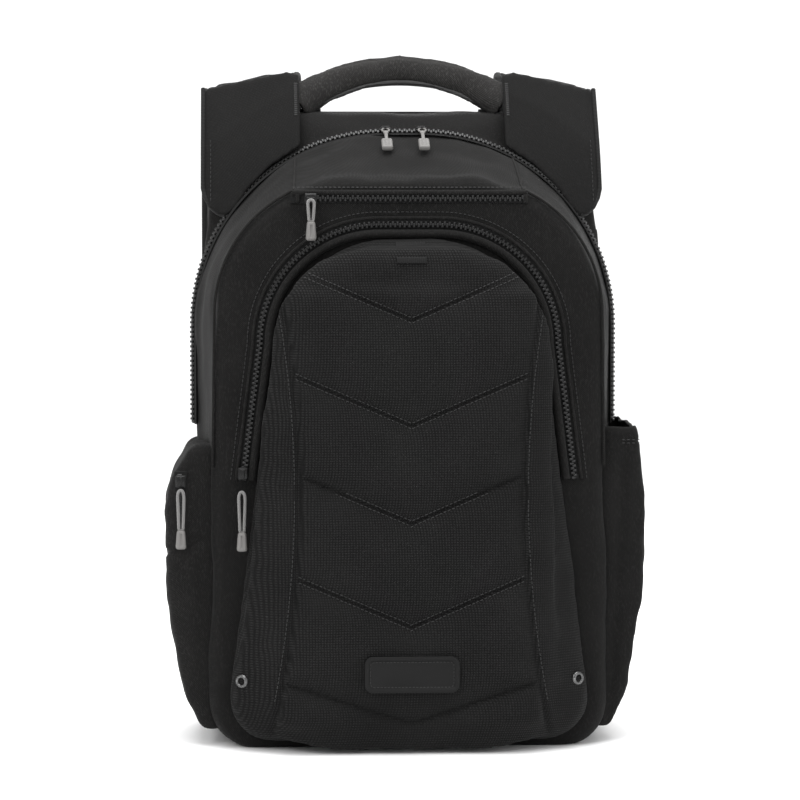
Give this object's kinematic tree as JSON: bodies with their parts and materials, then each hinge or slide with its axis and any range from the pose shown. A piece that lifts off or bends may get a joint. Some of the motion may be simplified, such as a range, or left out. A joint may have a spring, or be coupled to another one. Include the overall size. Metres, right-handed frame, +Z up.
{
  "type": "school backpack",
  "caption": "Dark grey school backpack with quilted front pocket, arched main zip, side pockets and grey cord zip pulls",
  "frame": {"origin": "on the floor under the middle of the bag, in the plane of its flat base", "axes": "+Z up, -Y is the front with the quilted pocket, +X to the right as seen from the front"},
  "size_m": [0.362, 0.2318, 0.522],
  "materials": {
    "twill": "charcoal polyester twill with a faint heather, matt",
    "oxford_weave": "coarse dotted oxford weave, quilted in chevrons",
    "air_mesh": "open spacer mesh over foam",
    "webbing": "ribbed black nylon webbing",
    "grey_cord": "round braided grey cord",
    "grey_rubber": "matt mauve-grey moulded rubber",
    "badge_rubber": "smooth black, half gloss, bare",
    "black_nylon": "black moulded nylon",
    "black_enamel": "black enamel with worn glints",
    "dark_metal": "gunmetal eyelet rings"
  },
  "bodies": {
    "pack": {"back_board": "twill", "back_pad_left": "air_mesh", "back_pad_right": "air_mesh", "lumbar_pad": "air_mesh", "laptop_sleeve": "twill", "rear_gusset": "twill", "rear_yoke": "twill", "lower_gusset": "twill", "main_zip_chain": "black_nylon", "lower_panel": "twill", "lower_pocket_gusset": "twill", "quilt_lower": "oxford_weave", "badge_patch": "badge_rubber", "eyelets": "dark_metal", "left_pocket": "twill", "right_pocket": "twill", "side_pocket_zip": "black_nylon", "handle_tabs": "webbing", "strap_yoke": "twill", "strap_anchor_left": "webbing", "strap_anchor_right": "webbing"},
    "main_flap": {"front_section_gusset": "twill", "front_section_panel": "twill", "front_pocket_zip": "black_nylon", "top_pocket_zip": "black_nylon"},
    "pocket_flap": {"pocket_gusset": "twill", "quilt_upper": "oxford_weave", "woven_label": "webbing"},
    "slider_main_left": {"main_slider_left": "black_enamel"},
    "slider_main_right": {"main_slider_right": "black_enamel"},
    "pull_main_left": {"main_pull_left": "grey_rubber"},
    "pull_main_right": {"main_pull_right": "grey_rubber"},
    "slider_top": {"top_slider": "black_enamel"},
    "pull_top": {"top_pull_cord": "grey_cord", "top_pull_grip": "grey_rubber"},
    "slider_front": {"front_slider": "black_enamel"},
    "pull_front": {"front_pull_cord": "grey_cord", "front_pull_grip": "grey_rubber"},
    "slider_side": {"side_slider": "black_enamel"},
    "pull_side": {"side_pull_cord": "grey_cord", "side_pull_grip": "grey_rubber"},
    "handle": {"handle_pad": "twill", "handle_webbing": "webbing"},
    "strap_left": {"shoulder_strap_left": "twill", "ladder_lock_left": "black_nylon", "webbing_tail_left": "webbing"},
    "strap_right": {"shoulder_strap_right": "twill", "ladder_lock_right": "black_nylon", "webbing_tail_right": "webbing"},
    "webbing_left": {"lower_webbing_left": "webbing"},
    "webbing_right": {"lower_webbing_right": "webbing"}
  },
  "joints": [
    {"name": "main_flap_fold", "type": "hinge", "parent": "pack", "child": "main_flap", "pos_m": [0, -0.091, 0.198], "axis": [1, 0, 0], "range_deg": [0, 35]},
    {"name": "pocket_flap_fold", "type": "hinge", "parent": "main_flap", "child": "pocket_flap", "pos_m": [0, -0.091, 0.198], "axis": [1, 0, 0], "range_deg": [0, 60]},
    {"name": "main_left_slide", "type": "hinge", "parent": "main_flap", "child": "slider_main_left", "pos_m": [-0.014, 0.028, 0.314], "axis": [0, -1, 0], "range_deg": [0, 88]},
    {"name": "main_right_slide", "type": "hinge", "parent": "main_flap", "child": "slider_main_right", "pos_m": [0.014, 0.028, 0.314], "axis": [0, 1, 0], "range_deg": [0, 88]},
    {"name": "main_left_pull", "type": "hinge", "parent": "slider_main_left", "child": "pull_main_left", "pos_m": [-0.014, 0.0224, 0.4637], "axis": [-1, 0, 0], "range_deg": [0, 24]},
    {"name": "main_right_pull", "type": "hinge", "parent": "slider_main_right", "child": "pull_main_right", "pos_m": [0.014, 0.0224, 0.4637], "axis": [-1, 0, 0], "range_deg": [0, 24]},
    {"name": "top_slide", "type": "slide", "parent": "main_flap", "child": "slider_top", "axis": [1, 0, 0], "range_m": [0, 0.15]},
    {"name": "top_pull_swing", "type": "hinge", "parent": "slider_top", "child": "pull_top", "pos_m": [-0.073, -0.06405, 0.41], "axis": [-1, 0, 0], "range_deg": [0, 80]},
    {"name": "front_slide", "type": "slide", "parent": "main_flap", "child": "slider_front", "axis": [0.124, 0, 0.9923], "range_m": [0, 0.06]},
    {"name": "front_pull_hang", "type": "hinge", "parent": "slider_front", "child": "pull_front", "pos_m": [-0.12464, -0.06645, 0.202], "axis": [-1, 0, 0], "range_deg": [0, 35]},
    {"name": "side_slide", "type": "slide", "parent": "pack", "child": "slider_side", "axis": [0, 0, -1], "range_m": [0, 0.022]},
    {"name": "side_pull_swing", "type": "hinge", "parent": "slider_side", "child": "pull_side", "pos_m": [-0.17, -0.053, 0.1954], "axis": [-1, 0, 0], "range_deg": [0, 80]},
    {"name": "handle_fold", "type": "hinge", "parent": "pack", "child": "handle", "pos_m": [0, 0.081, 0.4884], "axis": [1, 0, 0], "range_deg": [-10, 65], "stiffness_Nm_per_rad": 0.3},
    {"name": "strap_left_swing", "type": "hinge", "parent": "pack", "child": "strap_left", "pos_m": [-0.116, 0.0999, 0.471], "axis": [1, 0, 0], "range_deg": [0, 20]},
    {"name": "strap_right_swing", "type": "hinge", "parent": "pack", "child": "strap_right", "pos_m": [0.116, 0.0999, 0.471], "axis": [1, 0, 0], "range_deg": [0, 20]},
    {"name": "webbing_left_swing", "type": "hinge", "parent": "pack", "child": "webbing_left", "pos_m": [-0.116, 0.097, 0.0307], "axis": [-1, 0, 0], "range_deg": [0, 26]},
    {"name": "webbing_right_swing", "type": "hinge", "parent": "pack", "child": "webbing_right", "pos_m": [0.116, 0.097, 0.0307], "axis": [-1, 0, 0], "range_deg": [0, 26]}
  ],
  "couplings": [
    {"joint": "main_left_pull", "follows": "main_left_slide", "ratio": 0.27},
    {"joint": "main_right_pull", "follows": "main_right_slide", "ratio": 0.27},
    {"joint": "front_pull_hang", "follows": "main_flap_fold", "ratio": 1},
    {"joint": "webbing_left_swing", "follows": "strap_left_swing", "ratio": 1.3},
    {"joint": "webbing_right_swing", "follows": "strap_right_swing", "ratio": 1.3}
  ]
}
